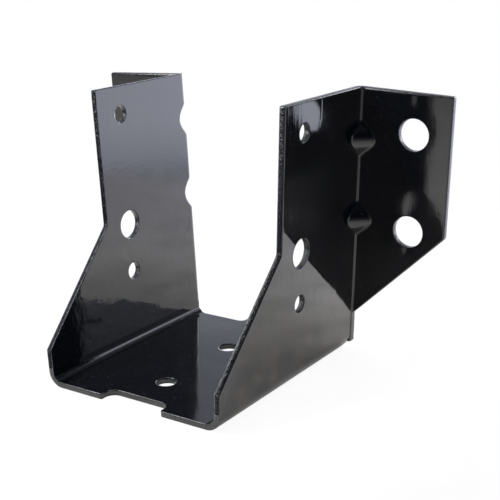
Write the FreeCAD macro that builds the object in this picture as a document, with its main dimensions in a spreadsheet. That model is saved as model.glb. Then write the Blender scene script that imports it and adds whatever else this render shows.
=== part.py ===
import FreeCAD, Part
import math
import os
import Sketcher

# A face-mount hanger folded from one steel sheet: a notched seat, two sides bent up from it, two flanges
# bent outward at the rear of the sides, and a pair of gussets pressed into each flange bend.
# Lengths are in millimetres and angles in degrees. +X runs across the seat, +Y runs from the open front
# to the flanges, +Z is up, and the underside of the seat lies on Z = 0.

doc = FreeCAD.newDocument("hanger")

# Driving dimensions
# Heights on a side are measured up its outer face from the underside of the seat, drops down from its top
# edge, depths from the front edge of the seat, and reaches along a flange from the outer face of its side.
SIZES = {
    "sheet_thickness": 2.8,
    "inside_width": 90.0,
    "overall_depth": 113.6,
    "side_height": 129.4,
    "side_lean": 2.4,
    "seat_bend_radius": 4.5,
    "flange_bend_radius": 1.2,
    "rear_setback": 1.9,
    "low_edge_height": 17.3,
    "knee_height": 64.9,
    "upper_edge_depth": 45.1,
    "flange_reach": 45.5,
    "flange_root_height": 17.7,
    "flange_corner_height": 64.1,
    "flange_corner_radius": 2.5,
    "knee_radius": 3.0,
    "blank_corner_radius": 1.0,
    "lip_height": 3.4,
    "lip_reach": 0.4,
    "notch_width": 33.2,
    "notch_depth": 7.2,
    "notch_radius": 4.5,
    "rear_tab_width": 28.8,
    "rear_tab_radius": 3.0,
    "rear_corner_radius": 7.0,
    "seat_hole_diameter": 9.6,
    "seat_hole_depth": 25.5,
    "seat_hole_spacing": 48.7,
    "side_hole_depth": 61.2,
    "small_hole_diameter": 8.3,
    "low_hole_height": 38.4,
    "top_hole_drop": 13.4,
    "large_hole_diameter": 13.75,
    "large_hole_height": 62.0,
    "flange_hole_diameter": 14.9,
    "flange_hole_reach": 27.4,
    "flange_hole_height": 64.7,
    "flange_hole_drop": 19.1,
    "gusset_reach": 8.0,
    "gusset_half_height": 10.4,
    "gusset_foot_radius": 1.2,
    "dent_reach": 7.2,
    "dent_half_height": 13.0,
    "dent_rise": 1.2,
    "dent_rim_radius": 1.5,
    "lower_gusset_height": 66.6,
    "upper_gusset_drop": 24.2,
    "edge_radius": 0.5,
}

# Cutting profiles run past the sheet by this much, and the gusset tools into it.
OVERSHOOT = 10.0
OVERLAP = 1.0

sizes = doc.addObject("Spreadsheet::Sheet", "sizes")
for row, (alias, value) in enumerate(SIZES.items(), start=1):
    sizes.set(f"A{row}", alias)
    sizes.set(f"B{row}", str(value))
    sizes.setAlias(f"B{row}", alias)
doc.recompute()

body = doc.addObject("PartDesign::Body", "hanger")
body.Label = "hanger"
planes = {feature.Role: feature for feature in body.Origin.OriginFeatures}

# Lengths that follow from the driving dimensions
thickness = "sizes.sheet_thickness"
outer_half_width = "(sizes.inside_width / 2 + sizes.sheet_thickness)"
flange_front = "(sizes.overall_depth - sizes.sheet_thickness)"
flange_bend_start = f"({flange_front} - sizes.flange_bend_radius)"
seat_depth = f"({flange_bend_start} - sizes.rear_setback)"
bend_axis = "(sizes.inside_width / 2 - sizes.seat_bend_radius)"
outer_bend_radius = "(sizes.seat_bend_radius + sizes.sheet_thickness)"
lean_sine = "sin(sizes.side_lean * 1 deg)"
lean_cosine = "cos(sizes.side_lean * 1 deg)"


def number(expression):
    """The present value of a length written in terms of the driving dimensions."""
    return float(body.evalExpression(expression))


def new_sketch(name, support, mode, offset="0"):
    """A sketch on an origin plane or on a plane of the side frame, moved along its normal by offset."""
    sketch = body.newObject("Sketcher::SketchObject", name)
    sketch.AttachmentSupport = [(support, "")]
    sketch.MapMode = mode
    sketch.setExpression("AttachmentOffset.Base.z", offset)
    return sketch


def set_point(sketch, edge, end, across, up):
    """Ties one end of a sketch edge to its two distances from the sketch origin."""
    for kind, expression in (("DistanceX", across), ("DistanceY", up)):
        index = sketch.addConstraint(Sketcher.Constraint(kind, -1, 1, edge, end, number(expression)))
        sketch.setExpression(f"Constraints[{index}]", expression)


def draw_outline(sketch, corners, centres=None):
    """A closed outline. The edge after a corner is straight, or an arc where a centre is given for it."""
    centres = centres or {}
    points = [FreeCAD.Vector(number(across), number(up), 0) for across, up in corners]
    edge_ends = []
    for index, point in enumerate(points):
        following = points[(index + 1) % len(points)]
        if index not in centres:
            sketch.addGeometry(Part.LineSegment(point, following), False)
            edge_ends.append((1, 2))
            continue
        across, up = centres[index]
        centre = FreeCAD.Vector(number(across), number(up), 0)
        spokes = [point - centre, following - centre]
        turns_left = spokes[0].cross(spokes[1]).z > 0
        if not turns_left:
            spokes.reverse()
        circle = Part.Circle(centre, FreeCAD.Vector(0, 0, 1), spokes[0].Length)
        first_angle, last_angle = (math.atan2(spoke.y, spoke.x) for spoke in spokes)
        sketch.addGeometry(Part.ArcOfCircle(circle, first_angle, last_angle), False)
        edge_ends.append((1, 2) if turns_left else (2, 1))
    for index, (across, up) in enumerate(corners):
        after = (index + 1) % len(corners)
        start, finish = edge_ends[index]
        sketch.addConstraint(Sketcher.Constraint("Coincident", index, finish, after, edge_ends[after][0]))
        set_point(sketch, index, start, across, up)
    for index, (across, up) in centres.items():
        constraint = sketch.addConstraint(Sketcher.Constraint("DistanceX", -1, 1, index, 3, number(across)))
        sketch.setExpression(f"Constraints[{constraint}]", across)


def draw_circles(sketch, circles):
    """Circles, each given by its centre and diameter."""
    for across, up, diameter in circles:
        centre = FreeCAD.Vector(number(across), number(up), 0)
        edge = sketch.addGeometry(Part.Circle(centre, FreeCAD.Vector(0, 0, 1), number(diameter) / 2), False)
        set_point(sketch, edge, 3, across, up)
        index = sketch.addConstraint(Sketcher.Constraint("Diameter", edge, number(diameter)))
        sketch.setExpression(f"Constraints[{index}]", diameter)


def cut_through_sheet(name, sketch, length=f"4 * {thickness}"):
    """Cuts a profile through the sheet that its sketch lies on, half a length to each side."""
    volume = body.Tip.Shape.Volume
    pocket = body.newObject("PartDesign::Pocket", name)
    pocket.Profile = sketch
    pocket.Midplane = True
    pocket.setExpression("Length", length)
    doc.recompute()
    if not pocket.Shape.Volume < volume:
        raise RuntimeError(name + " cuts nothing")
    return pocket


def edges_at(feature, points):
    """Names of the edges of a feature whose middles lie nearest to points of the body."""
    middles = [edge.CenterOfMass for edge in feature.Shape.Edges]
    names = []
    for point in points:
        nearest = min(range(len(middles)), key=lambda index: middles[index].distanceToPoint(point))
        names.append(f"Edge{nearest + 1}")
    return names


def round_edges(name, feature, points, radius):
    """Rounds the edges of a feature whose middles lie at points."""
    fillet = body.newObject("PartDesign::Fillet", name)
    fillet.Base = (feature, edges_at(feature, points))
    fillet.setExpression("Radius", radius)
    doc.recompute()
    return fillet


# Half section of the seat and one side
# The side stands on the corner where its outer face meets the underside of the seat, and leans outward.
side_frame = body.newObject("PartDesign::CoordinateSystem", "side_frame")
side_frame.setExpression(
    "Placement",
    f"placement(vector({outer_half_width}; 0; 0); rotation(vector(0; 1; 0); sizes.side_lean))",
)
doc.recompute()


def on_side(outward, back, up):
    """A point of the body from its place on the folded side, given by three lengths."""
    return side_frame.Placement.multVec(FreeCAD.Vector(number(outward), number(back), number(up)))


seat_inner_corner = f"({thickness} * (1 - {lean_sine}) / {lean_cosine})"
section = new_sketch("section", planes["XZ_Plane"], "FlatFace")
draw_outline(section, [
    ("0", "0"),
    (outer_half_width, "0"),
    (f"{outer_half_width} + sizes.side_height * {lean_sine}", f"sizes.side_height * {lean_cosine}"),
    (
        f"{outer_half_width} + sizes.side_height * {lean_sine} - {thickness} * {lean_cosine}",
        f"sizes.side_height * {lean_cosine} + {thickness} * {lean_sine}",
    ),
    (
        f"{outer_half_width} - {thickness} * {lean_cosine} + {seat_inner_corner} * {lean_sine}",
        thickness,
    ),
    ("0", thickness),
])
channel = body.newObject("PartDesign::Pad", "channel")
channel.Profile = section
channel.Reversed = True
channel.setExpression("Length", flange_bend_start)
doc.recompute()

half_length = f"({flange_bend_start} / 2)"
inner_bend = round_edges(
    "inner_bend",
    channel,
    [on_side(f"-{thickness}", half_length, seat_inner_corner)],
    "sizes.seat_bend_radius",
)
outer_bend = round_edges(
    "outer_bend",
    inner_bend,
    [on_side("0", half_length, "0")],
    outer_bend_radius,
)

# Flange and its bend, as a plan section carried up the side
flange_section = new_sketch("flange_section", side_frame, "ObjectXY", "sizes.lip_height")
bend_centre = ("sizes.flange_bend_radius", flange_bend_start)
draw_outline(
    flange_section,
    [
        ("sizes.flange_reach", flange_front),
        ("sizes.flange_reach", "sizes.overall_depth"),
        ("sizes.flange_bend_radius", "sizes.overall_depth"),
        (f"-{thickness}", flange_bend_start),
        ("0", flange_bend_start),
        ("sizes.flange_bend_radius", flange_front),
    ],
    centres={2: bend_centre, 4: bend_centre},
)
flange = body.newObject("PartDesign::Pad", "flange")
flange.Profile = flange_section
flange.setExpression("Length", "sizes.side_height - sizes.lip_height")
doc.recompute()

# The flange below its sloping edge is cut away up to the start of the bend, which stays as a narrow lip.
slope = "((sizes.flange_corner_height - sizes.flange_root_height) / sizes.flange_reach)"
flange_outline = new_sketch("flange_outline", side_frame, "ObjectXZ", f"-{flange_front}")
draw_outline(flange_outline, [
    ("sizes.lip_reach", f"-{OVERSHOOT}"),
    (f"sizes.flange_reach + {OVERSHOOT}", f"-{OVERSHOOT}"),
    (f"sizes.flange_reach + {OVERSHOOT}", "sizes.flange_corner_height"),
    ("sizes.flange_reach", "sizes.flange_corner_height"),
    ("sizes.lip_reach", f"sizes.flange_root_height + {slope} * sizes.lip_reach"),
])
cut_through_sheet("flange_cut", flange_outline)

# Front outline of the side: a short upright edge, a slope back to the knee and an upright edge to the top
side_outline = new_sketch("side_outline", side_frame, "ObjectYZ")
draw_outline(side_outline, [
    (f"-{OVERSHOOT}", "sizes.low_edge_height"),
    ("0", "sizes.low_edge_height"),
    ("sizes.upper_edge_depth", "sizes.knee_height"),
    ("sizes.upper_edge_depth", f"sizes.side_height + {OVERSHOOT}"),
    (f"-{OVERSHOOT}", f"sizes.side_height + {OVERSHOOT}"),
])
cut_through_sheet("side_cut", side_outline)

# Punched holes of the side and the flange
side_holes = new_sketch("side_holes", side_frame, "ObjectYZ")
draw_circles(side_holes, [
    ("sizes.side_hole_depth", "sizes.low_hole_height", "sizes.small_hole_diameter"),
    ("sizes.side_hole_depth", "sizes.large_hole_height", "sizes.large_hole_diameter"),
    ("sizes.side_hole_depth", "sizes.side_height - sizes.top_hole_drop", "sizes.small_hole_diameter"),
])
cut_through_sheet("side_punch", side_holes)

flange_holes = new_sketch("flange_holes", side_frame, "ObjectXZ", f"-{flange_front}")
draw_circles(flange_holes, [
    ("sizes.flange_hole_reach", "sizes.flange_hole_height", "sizes.flange_hole_diameter"),
    (
        "sizes.flange_hole_reach",
        "sizes.side_height - sizes.flange_hole_drop",
        "sizes.flange_hole_diameter",
    ),
])
flange_punch = cut_through_sheet("flange_punch", flange_holes)

# Corners of the side and the flange
flange_middle = f"({flange_front} + {thickness} / 2)"
side_middle = f"(-{thickness} / 2)"
rounded = round_edges(
    "flange_corner",
    flange_punch,
    [on_side("sizes.flange_reach", flange_middle, "sizes.flange_corner_height")],
    "sizes.flange_corner_radius",
)
rounded = round_edges(
    "knee",
    rounded,
    [on_side(side_middle, "sizes.upper_edge_depth", "sizes.knee_height")],
    "sizes.knee_radius",
)
rounded = round_edges(
    "blank_corners",
    rounded,
    [
        on_side("sizes.flange_reach", flange_middle, "sizes.side_height"),
        on_side(side_middle, "sizes.upper_edge_depth", "sizes.side_height"),
    ],
    "sizes.blank_corner_radius",
)

# Gussets
# Each is a dart pressed from the outer corner of the flange bend into its inner corner. Along the bend it
# swells and fades as a bell, a squared cosine, and its level sections run straight from the side to the
# flange. The dent that the punch leaves behind is a bell too. It is longer and shallower than the rib in
# front, where the sheet gathers, and lies a little above it.
TOWARDS_INNER_CORNER = FreeCAD.Rotation(FreeCAD.Vector(0, 0, 1), -135)
BELL_SHARES = (-1.0, -0.75, -0.5, -0.25, 0.0, 0.25, 0.5, 0.75, 1.0)


def press_dart(kind, name, outward, back, height, dart_reach, half_height):
    """A dart along a corner of the bend, as a loft through level sections across the corner."""
    levels = []
    for index, share in enumerate(BELL_SHARES, start=1):
        level = body.newObject("Sketcher::SketchObject", f"{name}_level_{index}")
        level.AttachmentSupport = [(side_frame, "")]
        level.MapMode = "ObjectXY"
        level.AttachmentOffset = FreeCAD.Placement(FreeCAD.Vector(), TOWARDS_INNER_CORNER)
        level.setExpression("AttachmentOffset.Base.x", outward)
        level.setExpression("AttachmentOffset.Base.y", back)
        level.setExpression("AttachmentOffset.Base.z", f"{height} + {share} * {half_height}")
        crest = f"({dart_reach} / sqrt(2) * cos({share} * 90 deg) ^ 2)"
        draw_outline(level, [
            (f"-{OVERLAP}", f"-{OVERLAP}"),
            (f"{OVERLAP}", f"-{OVERLAP}"),
            (f"{crest} + 2 * {OVERLAP}", crest),
            (f"-{crest} - 2 * {OVERLAP}", crest),
        ])
        levels.append(level)
    dart = body.newObject(kind, name)
    dart.Profile = levels[0]
    dart.Sections = levels[1:]
    doc.recompute()
    return dart


gusset_heights = {
    "lower": "sizes.lower_gusset_height",
    "upper": "(sizes.side_height - sizes.upper_gusset_drop)",
}
for place, height in gusset_heights.items():
    rib = press_dart(
        "PartDesign::AdditiveLoft", place + "_rib", "0", flange_front, height,
        "sizes.gusset_reach", "sizes.gusset_half_height",
    )
    foot_middle = on_side("0", f"{flange_front} - sizes.gusset_reach / 2", height)
    round_edges(place + "_foot", rib, [foot_middle], "sizes.gusset_foot_radius")
    dent = press_dart(
        "PartDesign::SubtractiveLoft", place + "_dent", f"-{thickness}", "sizes.overall_depth",
        f"({height} + sizes.dent_rise)", "sizes.dent_reach", "sizes.dent_half_height",
    )
    rim_middle = on_side(
        f"-{thickness}", "sizes.overall_depth - sizes.dent_reach / 2", f"{height} + sizes.dent_rise"
    )
    round_edges(place + "_dent_rim", dent, [rim_middle], "sizes.dent_rim_radius")

# The other half of the folded sheet
whole = body.newObject("PartDesign::Mirrored", "whole")
whole.MirrorPlane = (planes["YZ_Plane"], [""])
whole.TransformMode = "Whole shape"
body.Tip = whole
doc.recompute()

# Notched front edge of the seat
notch_outline = new_sketch("notch_outline", planes["XY_Plane"], "FlatFace")
draw_outline(notch_outline, [
    ("-sizes.notch_width / 2", f"-{OVERSHOOT}"),
    ("sizes.notch_width / 2", f"-{OVERSHOOT}"),
    ("sizes.notch_width / 2", "sizes.notch_depth"),
    ("-sizes.notch_width / 2", "sizes.notch_depth"),
])
cut_through_sheet("notch", notch_outline)

# Rear edge of the seat, with round corners that run out along the inner faces of the sides
inner_half_width = "(sizes.inside_width / 2)"
corner_across = f"({inner_half_width} - sizes.rear_corner_radius)"
corner_back = f"({seat_depth} + sizes.rear_corner_radius)"
rear_outline = new_sketch("rear_outline", planes["XY_Plane"], "FlatFace")
draw_outline(
    rear_outline,
    [
        (f"-{corner_across}", seat_depth),
        (corner_across, seat_depth),
        (inner_half_width, corner_back),
        (inner_half_width, f"{corner_back} + {OVERSHOOT}"),
        (f"-{inner_half_width}", f"{corner_back} + {OVERSHOOT}"),
        (f"-{inner_half_width}", corner_back),
    ],
    centres={1: (corner_across, corner_back), 5: (f"-{corner_across}", corner_back)},
)
cut_through_sheet("rear_cut", rear_outline, f"4 * {outer_bend_radius}")

# A tab in the middle of the rear edge, left where the next blank's notch was cut, and flush with the
# rear of the flanges
tab_outline = new_sketch("tab_outline", planes["XY_Plane"], "FlatFace")
draw_outline(tab_outline, [
    ("-sizes.rear_tab_width / 2", f"{seat_depth} - {OVERLAP}"),
    ("sizes.rear_tab_width / 2", f"{seat_depth} - {OVERLAP}"),
    ("sizes.rear_tab_width / 2", "sizes.overall_depth"),
    ("-sizes.rear_tab_width / 2", "sizes.overall_depth"),
])
tab = body.newObject("PartDesign::Pad", "rear_tab")
tab.Profile = tab_outline
tab.setExpression("Length", thickness)
doc.recompute()

# Punched holes of the seat
seat_holes = new_sketch("seat_holes", planes["XY_Plane"], "FlatFace")
draw_circles(seat_holes, [
    ("0", "sizes.seat_hole_depth", "sizes.seat_hole_diameter"),
    ("0", "sizes.seat_hole_depth + sizes.seat_hole_spacing", "sizes.seat_hole_diameter"),
])
seat_punch = cut_through_sheet("seat_punch", seat_holes)


def on_seat(across, back):
    """Points of the body at half the sheet's thickness, to both sides of the middle of the seat."""
    return [
        FreeCAD.Vector(side * number(across), number(back), number(thickness) / 2) for side in (-1, 1)
    ]


rounded = round_edges(
    "notch_corners",
    seat_punch,
    on_seat("sizes.notch_width / 2", "sizes.notch_depth"),
    "sizes.notch_radius",
)
rounded = round_edges(
    "tab_roots",
    rounded,
    on_seat("sizes.rear_tab_width / 2", seat_depth),
    "sizes.rear_tab_radius",
)
rounded = round_edges(
    "tab_corners",
    rounded,
    on_seat("sizes.notch_width / 2", "0")
    + on_seat("sizes.rear_tab_width / 2", "sizes.overall_depth"),
    "sizes.blank_corner_radius",
)

# Cut edges
# Shearing rounds the edges over on the face where the punch landed, which is the outside of the fold. The
# other face, the rims of the holes and the short ends of the seat bends behind the seat keep sharp edges.
SHARP_TURN = math.radians(40)


def is_sharp(edge, faces):
    """Whether two faces meet at a sharp angle in the middle of their common edge."""
    middle = edge.valueAt((edge.FirstParameter + edge.LastParameter) / 2)
    first, second = (face.normalAt(*face.Surface.parameter(middle)) for face in faces)
    return first.getAngle(second) > SHARP_TURN


def is_bend_end(edge):
    """Whether an edge lies at the end of a seat bend, behind the rear edge of the seat."""
    middle = edge.CenterOfMass
    in_bend = abs(middle.x) > number(bend_axis) and middle.z < number(outer_bend_radius)
    return in_bend and middle.y > number(seat_depth)


def punched_outline(shape):
    """Names of the sharp edges around the outside of the fold, found by spreading from the underside."""
    start = min(shape.Faces, key=lambda face: face.CenterOfMass.z)
    outside = {start.hashCode()}
    waiting = [start]
    outline = set()
    while waiting:
        for edge in waiting.pop().Edges:
            faces = shape.ancestorsOfType(edge, Part.Face)
            if edge.isClosed() or len(faces) != 2:
                continue
            if is_sharp(edge, faces):
                if not is_bend_end(edge):
                    outline.add(edge.hashCode())
                continue
            fresh = [face for face in faces if face.hashCode() not in outside]
            outside.update(face.hashCode() for face in fresh)
            waiting.extend(fresh)
    return [
        f"Edge{index}" for index, edge in enumerate(shape.Edges, start=1) if edge.hashCode() in outline
    ]


sheared_edges = body.newObject("PartDesign::Fillet", "sheared_edges")
sheared_edges.Base = (rounded, punched_outline(rounded.Shape))
sheared_edges.setExpression("Radius", "sizes.edge_radius")

body.setExpression("Placement.Base.y", "-sizes.overall_depth / 2")
doc.recompute()

for item in doc.Objects:
    if "Invalid" in item.State or "Error" in item.State:
        raise RuntimeError(item.Name + " failed")
if body.Shape.isNull() or not body.Shape.isValid():
    raise RuntimeError("the hanger is not a sound solid")

os.makedirs("parts", exist_ok=True)
body.Shape.exportStep(f"parts/{body.Label}.step")
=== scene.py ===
import math

import bpy
from mathutils import Matrix, Vector

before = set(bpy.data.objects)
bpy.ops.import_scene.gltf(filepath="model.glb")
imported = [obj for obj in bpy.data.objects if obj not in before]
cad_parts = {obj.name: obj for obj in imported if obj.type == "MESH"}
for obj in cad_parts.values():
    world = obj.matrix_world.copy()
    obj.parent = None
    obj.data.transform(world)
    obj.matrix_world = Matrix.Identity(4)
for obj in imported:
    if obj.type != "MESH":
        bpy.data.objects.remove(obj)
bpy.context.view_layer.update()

# Hanger
# One steel sheet, sheared to its outline, punched, folded up at the sides and out at the flanges, with
# gussets pressed into the flange bends. It was given a gloss black powder coat after it was folded.
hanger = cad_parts["hanger"]


def add_node(tree, kind, settings, inputs):
    """A node with its settings, and with its inputs set to values or joined to sockets."""
    node = tree.nodes.new(kind)
    for name, value in settings.items():
        setattr(node, name, value)
    for key, value in inputs.items():
        if isinstance(value, bpy.types.NodeSocket):
            tree.links.new(value, node.inputs[key])
        else:
            node.inputs[key].default_value = value
    return node


def reckon(tree, operation, first, second=0.0):
    """The result of a sum on one or two numbers."""
    return add_node(tree, "ShaderNodeMath", {"operation": operation}, {0: first, 1: second}).outputs[0]


def gather(tree, operation, numbers):
    """The result of one sum that is carried on through several numbers."""
    result = numbers[0]
    for number in numbers[1:]:
        result = reckon(tree, operation, result, number)
    return result


def product(tree, *factors):
    """The product of several numbers."""
    return gather(tree, "MULTIPLY", factors)


def total(tree, *terms):
    """Several numbers added up."""
    return gather(tree, "ADD", terms)


def largest(tree, *numbers):
    """The largest of several numbers."""
    return gather(tree, "MAXIMUM", numbers)


def remainder(tree, share):
    """What a share leaves of one."""
    return reckon(tree, "SUBTRACT", 1.0, share)


def is_under(tree, value, limit):
    """One where a value is under its limit, and zero elsewhere."""
    return reckon(tree, "LESS_THAN", value, limit)


def is_over(tree, value, limit):
    """One where a value is over its limit, and zero elsewhere."""
    return reckon(tree, "GREATER_THAN", value, limit)


def fade(tree, value, start, finish, first=0.0, last=1.0):
    """A smooth change from first to last while a value goes from start to finish."""
    return add_node(
        tree,
        "ShaderNodeMapRange",
        {"interpolation_type": "SMOOTHSTEP"},
        {"Value": value, "From Min": start, "From Max": finish, "To Min": first, "To Max": last},
    ).outputs["Result"]


def split(tree, vector):
    """The three parts of a vector."""
    return add_node(tree, "ShaderNodeSeparateXYZ", {}, {0: vector}).outputs


def join(tree, across, back, up):
    """A vector from its three parts."""
    return add_node(tree, "ShaderNodeCombineXYZ", {}, {0: across, 1: back, 2: up}).outputs[0]


def add_vectors(tree, first, second):
    """Two vectors or colours added up."""
    return add_node(
        tree, "ShaderNodeVectorMath", {"operation": "ADD"}, {0: first, 1: second}
    ).outputs["Vector"]


def tint(tree, colour, level):
    """A colour at a level."""
    return add_node(
        tree, "ShaderNodeVectorMath", {"operation": "SCALE"}, {0: colour, "Scale": level}
    ).outputs["Vector"]


def distance_between(tree, first, second):
    """How far two points are apart."""
    return add_node(
        tree, "ShaderNodeVectorMath", {"operation": "DISTANCE"}, {0: first, 1: second}
    ).outputs["Value"]


NOISE_MIDDLE = 0.5


def grain(tree, place, stretch, detail):
    """Noise about zero, with as many grains to the metre along each axis as stretch says."""
    stretched = add_node(
        tree, "ShaderNodeVectorMath", {"operation": "MULTIPLY"}, {0: place, 1: stretch}
    ).outputs["Vector"]
    noise = add_node(
        tree, "ShaderNodeTexNoise", {}, {"Vector": stretched, "Scale": 1.0, "Detail": detail}
    ).outputs["Fac"]
    return reckon(tree, "SUBTRACT", noise, NOISE_MIDDLE)


COAT_IOR = 1.6
coat = bpy.data.materials.new("gloss_black_coat")
coat.use_nodes = True
tree = coat.node_tree
shader = tree.nodes["Principled BSDF"]
shader.inputs["IOR"].default_value = COAT_IOR

# The place of a point on the hanger, and the way its face is turned.
NEARLY_SQUARE = 0.9
FULLY_SQUARE = 0.98
place = add_node(tree, "ShaderNodeTexCoord", {}, {}).outputs["Object"]
across, back, up = split(tree, place)
from_middle = reckon(tree, "ABSOLUTE", across)
half = reckon(tree, "SIGN", across)
on_left = is_under(tree, across, 0.0)
on_right = is_over(tree, across, 0.0)
face = add_node(tree, "ShaderNodeNewGeometry", {}, {}).outputs["True Normal"]
face_across, face_back, face_up = split(tree, face)
turned_across = reckon(tree, "ABSOLUTE", face_across)
turned_back = reckon(tree, "ABSOLUTE", face_back)
turned_up = reckon(tree, "ABSOLUTE", face_up)
is_side = fade(tree, turned_across, NEARLY_SQUARE, FULLY_SQUARE)
is_flange = fade(tree, turned_back, NEARLY_SQUARE, FULLY_SQUARE)
outward = reckon(tree, "SIGN", product(tree, face_across, across))

# The sheared and punched faces of the flanges, the sides, the seat, the front of its bends and the top.
HALF_TURNED = 0.6
SIDE_LEAN = math.tan(math.radians(2.4))
SIDE_FOOT_OUT = 0.0478
FLANGE_START = 0.0035
FLANGE_FRONT = 0.0537
SIDE_MARGIN = 0.0004
SIDE_FOOT = 0.0085
SIDE_REAR = 0.0515
SEAT_TOP = 0.004
SEAT_HALF_WIDTH = 0.0405
BEND_FRONT = -0.0555
TOP_EDGE = 0.127
side_out = total(tree, product(tree, up, SIDE_LEAN), SIDE_FOOT_OUT)
off_side = reckon(tree, "SUBTRACT", from_middle, side_out)
flange_cut = product(
    tree,
    is_over(tree, off_side, FLANGE_START),
    is_over(tree, back, FLANGE_FRONT),
    is_under(tree, turned_back, HALF_TURNED),
    is_under(tree, up, TOP_EDGE),
)
side_cut = product(
    tree,
    is_under(tree, off_side, SIDE_MARGIN),
    is_over(tree, up, SIDE_FOOT),
    is_under(tree, up, TOP_EDGE),
    is_under(tree, back, SIDE_REAR),
    is_under(tree, turned_across, HALF_TURNED),
)
seat_cut = product(
    tree,
    is_under(tree, up, SEAT_TOP),
    is_under(tree, from_middle, SEAT_HALF_WIDTH),
    is_under(tree, turned_up, HALF_TURNED),
)
bend_cut = product(tree, is_under(tree, back, BEND_FRONT), is_over(tree, turned_back, HALF_TURNED))
top_cut = product(tree, is_over(tree, up, TOP_EDGE), is_over(tree, turned_up, HALF_TURNED))
cut = largest(tree, flange_cut, side_cut, seat_cut, bend_cut, top_cut)

# The coat draws round over the edges, more so over the cut faces and most along the top of the flanges.
EDGE_ROLL = 0.0007
CUT_ROLL = 0.0014
TOP_ROLL = 0.0023
TOP_RIM = 0.1268
ROLL_SAMPLES = 8
flange_top = product(tree, is_over(tree, up, TOP_RIM), is_over(tree, turned_back, NEARLY_SQUARE))
face_roll = fade(tree, cut, 0.0, 1.0, EDGE_ROLL, CUT_ROLL)
roll = largest(tree, face_roll, product(tree, flange_top, TOP_ROLL))
rolled = add_node(tree, "ShaderNodeBevel", {"samples": ROLL_SAMPLES}, {"Radius": roll}).outputs["Normal"]

# The inner seat bends are set tight, so their gloss turns from wall to seat close to the seat. The last
# three values are the places of the vectors among the sockets of a mix node.
BEND_LOW = 0.00275
BEND_HIGH = 0.0076
BEND_INNER = 0.0402
INWARD_LIMIT = 0.02
TIGHT_START = 0.5
FIRST_VECTOR = 4
SECOND_VECTOR = 5
MIXED_VECTOR = 1
in_bend = product(
    tree,
    is_over(tree, up, BEND_LOW),
    is_under(tree, up, BEND_HIGH),
    is_over(tree, from_middle, BEND_INNER),
    is_under(tree, turned_back, HALF_TURNED),
    is_under(tree, product(tree, face_across, half), INWARD_LIMIT),
)
_, _, rolled_up = split(tree, rolled)
tight_up = add_node(
    tree, "ShaderNodeMapRange", {}, {"Value": rolled_up, "From Min": TIGHT_START, "From Max": 1.0}
).outputs["Result"]
tight_across = reckon(tree, "SQRT", remainder(tree, product(tree, tight_up, tight_up)))
tight = join(tree, product(tree, tight_across, half, -1.0), 0.0, tight_up)
folded = add_node(
    tree,
    "ShaderNodeMix",
    {"data_type": "VECTOR"},
    {"Factor": in_bend, FIRST_VECTOR: rolled, SECOND_VECTOR: tight},
).outputs[MIXED_VECTOR]

# The walls of the holes in the flanges and the sides, each hole by its place in the wall and its reach.
FLANGE_HOLES = ((0.0788, 0.0635, 0.0082), (0.0788, 0.1091, 0.0082))
SIDE_HOLES = ((0.0044, 0.0384, 0.0052), (0.0044, 0.0620, 0.0078), (0.0044, 0.1160, 0.0052))


def is_in_hole(tree, along_wall, up_wall, hole):
    """One within the reach of a hole in a wall, and zero elsewhere."""
    hole_along, hole_up, reach = hole
    wall_place = join(tree, along_wall, up_wall, 0.0)
    return is_under(tree, distance_between(tree, wall_place, (hole_along, hole_up, 0.0)), reach)


in_flange_hole = largest(tree, *[is_in_hole(tree, from_middle, up, hole) for hole in FLANGE_HOLES])
in_side_hole = largest(tree, *[is_in_hole(tree, back, up, hole) for hole in SIDE_HOLES])
hole_wall = product(tree, largest(tree, in_flange_hole, in_side_hole), cut)

# Shearing and folding leave the flat walls a little bowed, the right side more than the left. The bow shows
# only in what the gloss mirrors, so it turns the shading alone. A side stands out a little at its foot, at
# its top and along its front above the slope. The left one has an inner face that tilts up at its foot.
LEFT_SHARE = 0.12
MIDDLE_STRIP = 0.01
LOW_BOW = 0.045
LOW_BOW_HEIGHTS = (0.072, 0.100)
TOP_BOW = -0.07
TOP_BOW_HEIGHTS = (0.100, 0.130)
FOOT_TILT = 0.0125
FOOT_TILT_HEIGHTS = (0.050, 0.036)
FLARE = 0.135
FLARE_PLACES = (0.040, 0.0)
FRONT_FLARE = 0.04
FRONT_FLARE_PLACES = (0.004, -0.012)
FLARE_SLOPE = 0.9
FLARE_FOOT = (0.0655, 0.0685)
FLARE_TOP = (0.106, 0.094)
side_share = fade(tree, across, -MIDDLE_STRIP, MIDDLE_STRIP, LEFT_SHARE, 1.0)
low_bow = fade(tree, up, *LOW_BOW_HEIGHTS, LOW_BOW, 0.0)
top_bow = fade(tree, up, *TOP_BOW_HEIGHTS, 0.0, TOP_BOW)
side_bow = product(tree, total(tree, low_bow, top_bow), outward, is_side, side_share)
foot_tilt = product(
    tree,
    is_side,
    on_left,
    is_under(tree, outward, 0.0),
    fade(tree, up, *FOOT_TILT_HEIGHTS, 0.0, FOOT_TILT),
)
flare_height = total(tree, up, product(tree, back, FLARE_SLOPE))
flare = product(
    tree,
    total(
        tree,
        fade(tree, back, *FLARE_PLACES, 0.0, FLARE),
        fade(tree, back, *FRONT_FLARE_PLACES, 0.0, FRONT_FLARE),
    ),
    fade(tree, flare_height, *FLARE_FOOT),
    fade(tree, up, *FLARE_TOP),
)
side_flare = product(tree, flare, outward, is_side, side_share)

# The outer ends of the flanges come forward a little, most of all about the upper holes.
FLANGE_BOW = 0.037
UPPER_HOLE_BOW = 0.018
UPPER_HOLE_BELOW = (0.098, 0.111)
UPPER_HOLE_ABOVE = (0.124, 0.111)
hole_bow = product(
    tree, UPPER_HOLE_BOW, fade(tree, up, *UPPER_HOLE_BELOW), fade(tree, up, *UPPER_HOLE_ABOVE)
)
flange_bow = product(
    tree, total(tree, FLANGE_BOW, hole_bow), half, reckon(tree, "SIGN", face_back), is_flange
)

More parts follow.
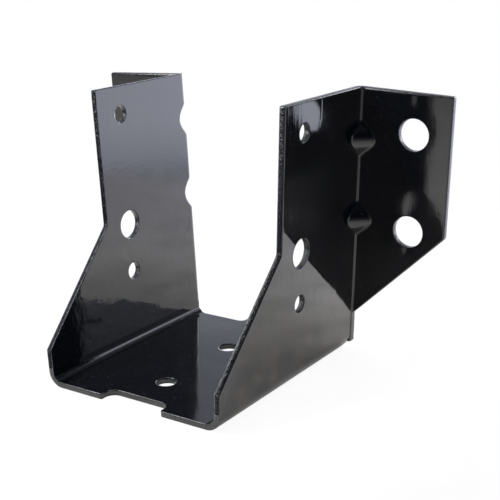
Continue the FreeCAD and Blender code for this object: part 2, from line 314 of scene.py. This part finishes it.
# Of the sheared faces, the sloping ones lean outward. The upright ones and the hole walls lean upward.
SLOPING = 0.3
SLOPE_LEAN = 0.18
UPRIGHT_LEAN = 0.36
slope_lean = product(tree, side_cut, is_over(tree, turned_up, SLOPING), half, SLOPE_LEAN)
upright_lean = product(
    tree, largest(tree, product(tree, side_cut, is_flange), hole_wall), UPRIGHT_LEAN
)
tilt = join(
    tree,
    total(tree, flange_bow, slope_lean),
    side_flare,
    total(tree, side_bow, foot_tilt, upright_lean),
)
bowed = add_node(
    tree, "ShaderNodeVectorMath", {"operation": "NORMALIZE"}, {0: add_vectors(tree, folded, tilt)}
).outputs["Vector"]

# The cut faces are torn between their rolled rims, all but the top edge.
TORN_STRAIGHTNESS = (0.75, 0.92)
straightness = add_node(
    tree, "ShaderNodeVectorMath", {"operation": "DOT_PRODUCT"}, {0: rolled, 1: face}
).outputs["Value"]
torn = product(tree, cut, remainder(tree, top_cut), fade(tree, straightness, *TORN_STRAIGHTNESS))

# Draw marks run up the walls, deepest on the upper front of the sides. The coat has a faint orange peel, the
# sheet is a little wavy, its low walls are dimpled, and a small crease is pressed into the top of the right
# side. Each grain is given by its stretch and its detail.
DRAW_GRAIN = ((420.0, 420.0, 14.0), 3.0)
DRAW_DEPTH = 0.00002
DRAG_DEPTH = 0.00009
DRAG_PLACES = (0.008, -0.004)
DRAG_HEIGHTS = (0.062, 0.070)
PEEL_GRAIN = ((450.0, 450.0, 450.0), 2.0)
PEEL_DEPTH = 0.000014
WAVE_GRAIN = ((35.0, 35.0, 25.0), 1.0)
WAVE_DEPTH = 0.0001
DIMPLE_GRAIN = ((150.0, 150.0, 110.0), 2.0)
DIMPLE_DEPTH = 0.0001
DIMPLE_HEIGHTS = (0.085, 0.055)
TEAR_GRAIN = ((900.0, 900.0, 900.0), 3.0)
TEAR_DEPTH = 0.00022
CREASE_DEPTH = -0.00006
CREASE_FRONT = (0.0170, 0.0179)
CREASE_REAR = (0.0188, 0.0179)
CREASE_HEIGHTS = (0.118, 0.124)
drag = product(tree, is_side, fade(tree, back, *DRAG_PLACES), fade(tree, up, *DRAG_HEIGHTS))
draw_depth = fade(tree, drag, 0.0, 1.0, DRAW_DEPTH, DRAG_DEPTH)
low_wall = product(tree, is_side, fade(tree, up, *DIMPLE_HEIGHTS))
crease = product(
    tree,
    fade(tree, back, *CREASE_FRONT),
    fade(tree, back, *CREASE_REAR),
    fade(tree, up, *CREASE_HEIGHTS),
    on_right,
)
relief = total(
    tree,
    product(tree, grain(tree, place, *DRAW_GRAIN), draw_depth),
    product(tree, grain(tree, place, *PEEL_GRAIN), PEEL_DEPTH),
    product(tree, grain(tree, place, *WAVE_GRAIN), WAVE_DEPTH),
    product(tree, grain(tree, place, *DIMPLE_GRAIN), low_wall, DIMPLE_DEPTH),
    product(tree, grain(tree, place, *TEAR_GRAIN), torn, TEAR_DEPTH),
    product(tree, crease, CREASE_DEPTH),
)
relieved = add_node(
    tree,
    "ShaderNodeBump",
    {},
    {"Strength": 1.0, "Distance": 1.0, "Height": relief, "Normal": bowed},
).outputs["Normal"]
tree.links.new(relieved, shader.inputs["Normal"])

# The gloss is uneven, and dull on the torn faces, the top edge and the walls of the holes.
HAZE_GRAIN = ((90.0, 90.0, 60.0), 4.0)
HAZE_NOISE = (-0.25, 0.25)
SHINY = 0.06
HAZY = 0.12
TORN_DULLNESS = 0.12
TOP_DULLNESS = 0.35
HOLE_DULLNESS = 0.15
roughness = total(
    tree,
    fade(tree, grain(tree, place, *HAZE_GRAIN), *HAZE_NOISE, SHINY, HAZY),
    product(tree, torn, TORN_DULLNESS),
    product(tree, top_cut, TOP_DULLNESS),
    product(tree, hole_wall, HOLE_DULLNESS),
)
tree.links.new(roughness, shader.inputs["Roughness"])

# The black is cloudy, with grit in it. Along the rims it is paler in places, partly where the coat is worn
# through and partly as a painted highlight, and dust clings to the foot of the outer faces.
CLOUD_GRAIN = ((45.0, 45.0, 30.0), 4.0)
CLOUD_NOISE = (-0.2, 0.3)
BLACK_LEVEL = 0.0009
CLOUD_LEVEL = 0.0007
BLACK_TINT = (0.7, 0.97, 2.0)
GRIT_GRAIN = ((1300.0, 1300.0, 1300.0), 0.0)
GRIT_NOISE = (0.27, 0.33)
GRIT_LEVEL = 0.03
RIM_PATCH_GRAIN = ((500.0, 500.0, 300.0), 2.0)
RIM_PATCH_NOISE = (-0.12, 0.12)
RIM_STRAIGHTNESS = (0.95, 0.72)
RIM_WEAR_AND_HIGHLIGHT_LEVEL = 0.12
BARE_AND_HIGHLIGHT_TINT = (0.85, 0.95, 1.2)
DUST_GRAIN = ((80.0, 80.0, 80.0), 5.0)
DUST_NOISE = (-0.1, 0.16)
DUST_HEIGHTS = (0.042, 0.020)
DUST_COLOUR = (0.0150, 0.0125, 0.0105)
clouds = fade(tree, grain(tree, place, *CLOUD_GRAIN), *CLOUD_NOISE)
black = total(tree, BLACK_LEVEL, product(tree, clouds, CLOUD_LEVEL))
grit = fade(tree, grain(tree, place, *GRIT_GRAIN), *GRIT_NOISE)
rim_patches = fade(tree, grain(tree, place, *RIM_PATCH_GRAIN), *RIM_PATCH_NOISE)
# Pale patches along the rims: partly wear, partly a painted highlight.
worn_and_highlit_rims = product(tree, fade(tree, straightness, *RIM_STRAIGHTNESS), rim_patches)
bare_and_highlight = total(tree, product(tree, grit, GRIT_LEVEL), product(tree, worn_and_highlit_rims, RIM_WEAR_AND_HIGHLIGHT_LEVEL))
dust = product(
    tree,
    is_side,
    is_over(tree, outward, 0.0),
    fade(tree, up, *DUST_HEIGHTS),
    fade(tree, grain(tree, place, *DUST_GRAIN), *DUST_NOISE),
)
tone = add_vectors(tree, tint(tree, BLACK_TINT, black), tint(tree, BARE_AND_HIGHLIGHT_TINT, bare_and_highlight))
tone = add_vectors(tree, tone, tint(tree, DUST_COLOUR, dust))
tree.links.new(tone, shader.inputs["Base Color"])

hanger.data.materials.clear()
hanger.data.materials.append(coat)

# Table
# A painted white table top that is nearly square to the hanger and ends a forearm's length behind it. It is
# a little cloudy. Painted shade darkens it towards its front, at its right front corner and close behind the
# right side, and a painted bluish light makes it bluer towards its back.
TABLE_TURN = math.radians(7.4)
TABLE_HALF_WIDTH = 0.9
TABLE_FRONT = -0.9
TABLE_BACK = 0.336
TABLE_TOP = -0.0001
table_mesh = bpy.data.meshes.new("table")
table_mesh.from_pydata(
    [
        (-TABLE_HALF_WIDTH, TABLE_FRONT, TABLE_TOP),
        (TABLE_HALF_WIDTH, TABLE_FRONT, TABLE_TOP),
        (TABLE_HALF_WIDTH, TABLE_BACK, TABLE_TOP),
        (-TABLE_HALF_WIDTH, TABLE_BACK, TABLE_TOP),
    ],
    [],
    [(0, 1, 2, 3)],
)
table = bpy.data.objects.new("table", table_mesh)
table.rotation_euler = (0.0, 0.0, TABLE_TURN)
bpy.context.scene.collection.objects.link(table)

PAINT_GRAIN = ((32.0, 32.0, 0.0), 3.0)
PAINT_NOISE = (-0.18, 0.18)
PAINT_SHADES = (0.88, 1.12)
# Painted shade on the top: a painted shadow close behind the right side, a painted shade at the right front
# corner and a painted falloff towards the front.
REAR_SHADE_PLACE = (0.051, 0.082, 0.0)
REAR_SHADE_REACH = (0.055, 0.01)
REAR_SHADE = 0.82
CORNER_SIDE = (0.06, 0.16)
CORNER_DEPTH = (0.08, -0.1)
CORNER_SHADE = 0.5
PAINTED_FALLOFF_DEPTH = (-0.9, 0.35)
PAINTED_FALLOFF_SHADES = (0.5, 1.1)
PAINT_RED = 0.85
PAINT_GREEN = 0.835
# The blue rises towards the back as a painted bluish light from the backdrop.
PAINTED_BACKLIGHT_BLUES = (0.815, 0.92)
BACKLIGHT_BLUE_DEPTH = (0.05, 0.28)
white_top = bpy.data.materials.new("white_table_top")
white_top.use_nodes = True
tree = white_top.node_tree
tree.nodes.clear()
table_place = add_node(tree, "ShaderNodeTexCoord", {}, {}).outputs["Object"]
side, depth, _ = split(tree, table_place)
paint_clouds = fade(tree, grain(tree, table_place, *PAINT_GRAIN), *PAINT_NOISE, *PAINT_SHADES)
# The painted shade: a shadow close behind the right side, a darker right front corner and a falloff towards
# the front, times the paint's clouds.
behind = distance_between(tree, table_place, REAR_SHADE_PLACE)
rear_shade = fade(tree, behind, *REAR_SHADE_REACH, 1.0, REAR_SHADE)
corner_shade = product(tree, fade(tree, side, *CORNER_SIDE), fade(tree, depth, *CORNER_DEPTH), CORNER_SHADE)
paint_and_shade_level = product(
    tree,
    fade(tree, depth, *PAINTED_FALLOFF_DEPTH, *PAINTED_FALLOFF_SHADES),
    remainder(tree, corner_shade),
    paint_clouds,
    rear_shade,
)
# A painted bluish light from the backdrop makes the top bluer towards its back.
paint_and_backlight_colour = join(tree, PAINT_RED, PAINT_GREEN, fade(tree, depth, *BACKLIGHT_BLUE_DEPTH, *PAINTED_BACKLIGHT_BLUES))
paint = add_node(tree, "ShaderNodeBsdfDiffuse", {}, {"Color": tint(tree, paint_and_backlight_colour, paint_and_shade_level)})

# The camera sees the top as nearly white, with a little of the hanger's shadow. From below the top is clear,
# so that the underside of the hanger shows.
WHITE_SHARE = 0.92
glow = add_node(tree, "ShaderNodeEmission", {}, {"Strength": 1.0})
table_path = add_node(tree, "ShaderNodeLightPath", {}, {})
white_share = product(tree, table_path.outputs["Is Camera Ray"], WHITE_SHARE)
whitened = add_node(
    tree, "ShaderNodeMixShader", {}, {0: white_share, 1: paint.outputs[0], 2: glow.outputs[0]}
)
from_below = add_node(tree, "ShaderNodeNewGeometry", {}, {}).outputs["Backfacing"]
clear = add_node(tree, "ShaderNodeBsdfTransparent", {}, {})
table_surface = add_node(
    tree, "ShaderNodeMixShader", {}, {0: from_below, 1: whitened.outputs[0], 2: clear.outputs[0]}
)
add_node(tree, "ShaderNodeOutputMaterial", {}, {"Surface": table_surface.outputs[0]})
table_mesh.materials.append(white_top)

# Light
# A plain white room. The gloss mirrors a backdrop that is pale low down, fades into a dark ceiling and is dim
# at the front. A wide soft box hangs overhead, and a strip box at the left and a small box behind light the
# rims. A step of the backdrop is given by its rise and its level.
BACKDROP_STEPS = [
    (-0.21, 0.7),
    (-0.175, 0.5),
    (-0.166, 0.47),
    (-0.162, 0.57),
    (-0.152, 0.78),
    (-0.11, 0.99),
    (0.05, 1.0),
    (0.28, 0.37),
    (0.38, 0.16),
    (0.44, 0.18),
    (0.6, 0.05),
]
BACKDROP_RED = 0.82
BACKDROP_GREEN = 0.85
BACKDROP_TURN = (-0.3, 0.3)
FRONT_LEVEL = 0.3
REAR_LEVEL = 3.6
ROOM_LEVEL = 1.05
SEEN_LEVEL = 1.0
WHITE = (1.0, 1.0, 1.0, 1.0)
RAMP_SHARE = 0.5
world = bpy.data.worlds.new("studio")
bpy.context.scene.world = world
world.use_nodes = True
tree = world.node_tree
tree.nodes.clear()
path = add_node(tree, "ShaderNodeLightPath", {}, {})
direction = add_node(tree, "ShaderNodeTexCoord", {}, {}).outputs["Generated"]
_, away, rise = split(tree, direction)
backdrop = add_node(
    tree, "ShaderNodeValToRGB", {}, {0: product(tree, total(tree, rise, 1.0), RAMP_SHARE)}
)
steps = backdrop.color_ramp.elements
steps.remove(steps[1])
for index, (height, level) in enumerate(BACKDROP_STEPS):
    position = (height + 1.0) * RAMP_SHARE
    step = steps[0] if index == 0 else steps.new(position)
    step.position = position
    step.color = (level * BACKDROP_RED, level * BACKDROP_GREEN, level, 1.0)
backdrop_level = fade(tree, away, *BACKDROP_TURN, FRONT_LEVEL, REAR_LEVEL)
mirrored = add_node(
    tree, "ShaderNodeBackground", {}, {"Color": backdrop.outputs["Color"], "Strength": backdrop_level}
)
room = add_node(tree, "ShaderNodeBackground", {}, {"Color": WHITE, "Strength": ROOM_LEVEL})
white = add_node(tree, "ShaderNodeBackground", {}, {"Color": WHITE, "Strength": SEEN_LEVEL})
unseen = add_node(
    tree,
    "ShaderNodeMixShader",
    {},
    {0: path.outputs["Is Glossy Ray"], 1: room.outputs[0], 2: mirrored.outputs[0]},
)
seen = add_node(
    tree,
    "ShaderNodeMixShader",
    {},
    {0: path.outputs["Is Camera Ray"], 1: unseen.outputs[0], 2: white.outputs[0]},
)
add_node(tree, "ShaderNodeOutputWorld", {}, {"Surface": seen.outputs[0]})


def add_soft_box(name, direction, distance, along, width, length, power):
    """A flat lamp that faces the hanger from a direction, with its length along another."""
    lamp = bpy.data.lights.new(name, "AREA")
    lamp.shape = "RECTANGLE"
    lamp.size = width
    lamp.size_y = length
    lamp.energy = power
    toward = Vector(direction).normalized()
    right = Vector(along).cross(toward).normalized()
    lengthways = toward.cross(right)
    turn = Matrix((right, lengthways, toward)).transposed().to_4x4()
    box = bpy.data.objects.new(name, lamp)
    box.matrix_world = Matrix.Translation(toward * distance) @ turn
    box.visible_camera = False
    bpy.context.scene.collection.objects.link(box)


add_soft_box(
    "overhead_soft_box",
    direction=(-0.1, 0.1, 1.0),
    distance=1.6,
    along=(0.0, 1.0, 0.0),
    width=1.4,
    length=1.4,
    power=11.0,
)
add_soft_box(
    "left_strip_box",
    direction=(-0.53, -0.36, 0.77),
    distance=1.2,
    along=(0.0, 0.9, 0.42),
    width=0.34,
    length=0.8,
    power=10.0,
)
add_soft_box(
    "rear_soft_box",
    direction=(0.28, 0.87, 0.43),
    distance=1.2,
    along=(0.0, 0.0, 1.0),
    width=0.26,
    length=0.26,
    power=3.4,
)

# Camera
# A camera with a long lens, at the right front of the hanger and a little above it. Its place, its turn and
# its lens were fitted to the outline of the hanger in the photograph.
CAMERA_PLACE = Vector((0.28173, -0.37272, 0.19686))
CAMERA_AZIMUTH = math.radians(33.62)
CAMERA_ELEVATION = math.radians(16.44)
CAMERA_ROLL = math.radians(-1.06)
SENSOR_WIDTH = 36.0
FOCAL_LENGTH = 75.66
SHIFT_ACROSS = -0.0286
SHIFT_UP = -0.0109
NEAR_LIMIT = 0.01
lens = bpy.data.cameras.new("camera")
lens.sensor_width = SENSOR_WIDTH
lens.lens = FOCAL_LENGTH
lens.shift_x = SHIFT_ACROSS
lens.shift_y = SHIFT_UP
lens.clip_start = NEAR_LIMIT
camera = bpy.data.objects.new("camera", lens)
camera.matrix_world = (
    Matrix.Translation(CAMERA_PLACE)
    @ Matrix.Rotation(CAMERA_AZIMUTH, 4, "Z")
    @ Matrix.Rotation(math.pi / 2 - CAMERA_ELEVATION, 4, "X")
    @ Matrix.Rotation(CAMERA_ROLL, 4, "Z")
)
bpy.context.scene.collection.objects.link(camera)
bpy.context.scene.camera = camera
bpy.context.scene.view_settings.view_transform = "Standard"
